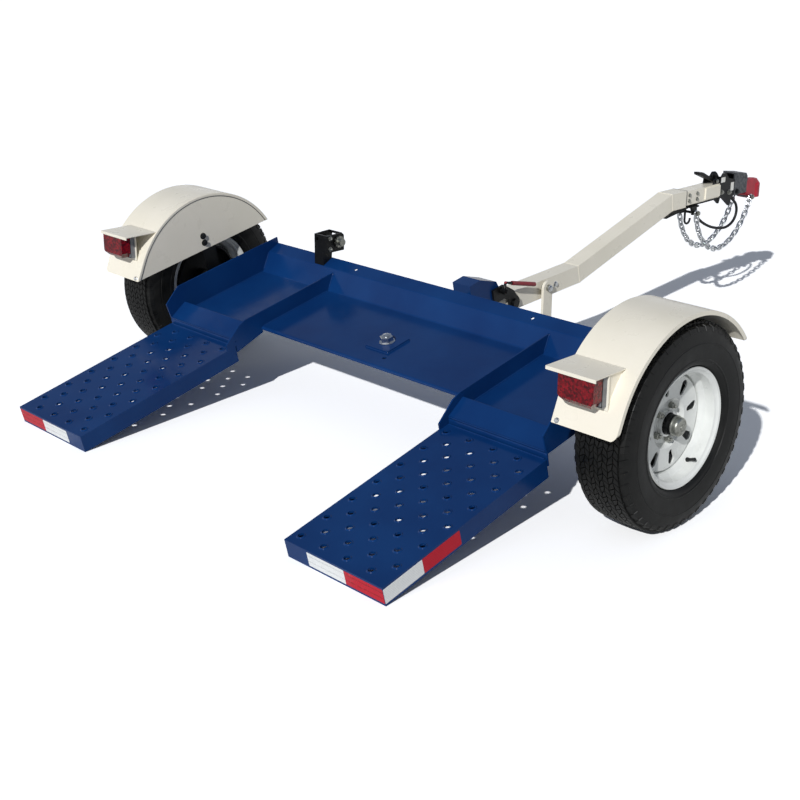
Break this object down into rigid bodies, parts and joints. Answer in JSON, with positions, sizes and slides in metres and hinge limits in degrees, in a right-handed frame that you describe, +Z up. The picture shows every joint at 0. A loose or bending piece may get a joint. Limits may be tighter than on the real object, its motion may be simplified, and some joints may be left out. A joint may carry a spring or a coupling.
{
  "type": "car tow dolly",
  "caption": "Tow dolly with a tilting, swivelling blue wheel bed and loading ramps, cream fenders with tail lamps, and a gooseneck tongue with ball coupler, chains and stand.",
  "frame": {"origin": "bottom centre of the bounding box, on the floor", "axes": "+X to the right seen from behind, +Y forward to the coupler, +Z up"},
  "size_m": [2.59, 3.5024, 0.7185],
  "materials": {
    "blue_paint": "gloss",
    "cream_paint": "gloss",
    "black_steel": "satin",
    "zinc": "satin",
    "plated": "bright",
    "cast_grey": "rough",
    "red_paint": "gloss",
    "red_grip": "soft gloss",
    "lamp_red": "gloss",
    "lamp_grey": "gloss",
    "tyre": "matt",
    "white_rim": "gloss",
    "cable": "matt"
  },
  "bodies": {
    "chassis": {"axle_beam": "blue_paint", "spindles": "zinc", "drawbar": "blue_paint", "turntable": "black_steel", "latch_housing": "blue_paint", "hinge_ears": "black_steel", "tilt_pin": "black_steel", "left_fender": "cream_paint", "right_fender": "cream_paint", "fender_brackets": "black_steel", "left_lamp_bracket": "cream_paint", "right_lamp_bracket": "cream_paint", "left_lamp_housing": "lamp_grey", "right_lamp_housing": "lamp_grey", "left_lamp_lens": "lamp_red", "right_lamp_lens": "lamp_red"},
    "bed": {"deck_pan": "blue_paint", "left_guides": "blue_paint", "right_guides": "blue_paint", "left_chock": "blue_paint", "right_chock": "blue_paint", "left_ramp": "blue_paint", "right_ramp": "blue_paint", "kingpin": "plated", "winch_bracket": "black_steel"},
    "winch": {"winch_spool": "zinc"},
    "left_wheel": {"left_tyre": "tyre", "left_rim": "white_rim", "left_hub": "black_steel"},
    "right_wheel": {"right_tyre": "tyre", "right_rim": "white_rim", "right_hub": "black_steel"},
    "tongue": {"tongue_beam": "cream_paint", "tongue_inner": "cream_paint", "coupler_body": "black_steel", "coupler_head": "cast_grey", "coupler_nose": "red_paint", "chain_bar": "black_steel", "left_chain": "plated", "right_chain": "plated", "wiring_cable": "cable", "stand_pin": "zinc"},
    "lever": {"coupler_lever": "black_steel"},
    "stand": {"stand_leg": "cream_paint"},
    "lock": {"lock_handle": "red_grip"}
  },
  "joints": [
    {"name": "bed_swivel", "type": "hinge", "parent": "chassis", "child": "bed", "pos_m": [0, -0.76922, 0.31905], "axis": [0, -0.213, 0.977], "range_deg": [-10, 10]},
    {"name": "winch_turn", "type": "hinge", "parent": "bed", "child": "winch", "pos_m": [-0.642, -0.46092, 0.54547], "axis": [1, 0, 0], "continuous": true},
    {"name": "left_wheel_spin", "type": "hinge", "parent": "chassis", "child": "left_wheel", "pos_m": [-1.1865, -0.73877, 0.339], "axis": [1, 0, 0], "continuous": true},
    {"name": "right_wheel_spin", "type": "hinge", "parent": "chassis", "child": "right_wheel", "pos_m": [1.1865, -0.73877, 0.339], "axis": [1, 0, 0], "continuous": true},
    {"name": "tongue_tilt", "type": "hinge", "parent": "chassis", "child": "tongue", "pos_m": [0, -0.11277, 0.3523], "axis": [1, 0, 0], "range_deg": [0, 12.3]},
    {"name": "coupler_latch", "type": "hinge", "parent": "tongue", "child": "lever", "pos_m": [0, 1.34523, 0.63295], "axis": [1, 0, 0], "range_deg": [-60, 15]},
    {"name": "stand_swing", "type": "hinge", "parent": "tongue", "child": "stand", "pos_m": [0.058, 0.08523, 0.37615], "axis": [1, 0, 0], "range_deg": [0, 90]},
    {"name": "lock_turn", "type": "hinge", "parent": "chassis", "child": "lock", "pos_m": [0.07, -0.19427, 0.41883], "axis": [1, 0, 0], "range_deg": [0, 60]}
  ]
}
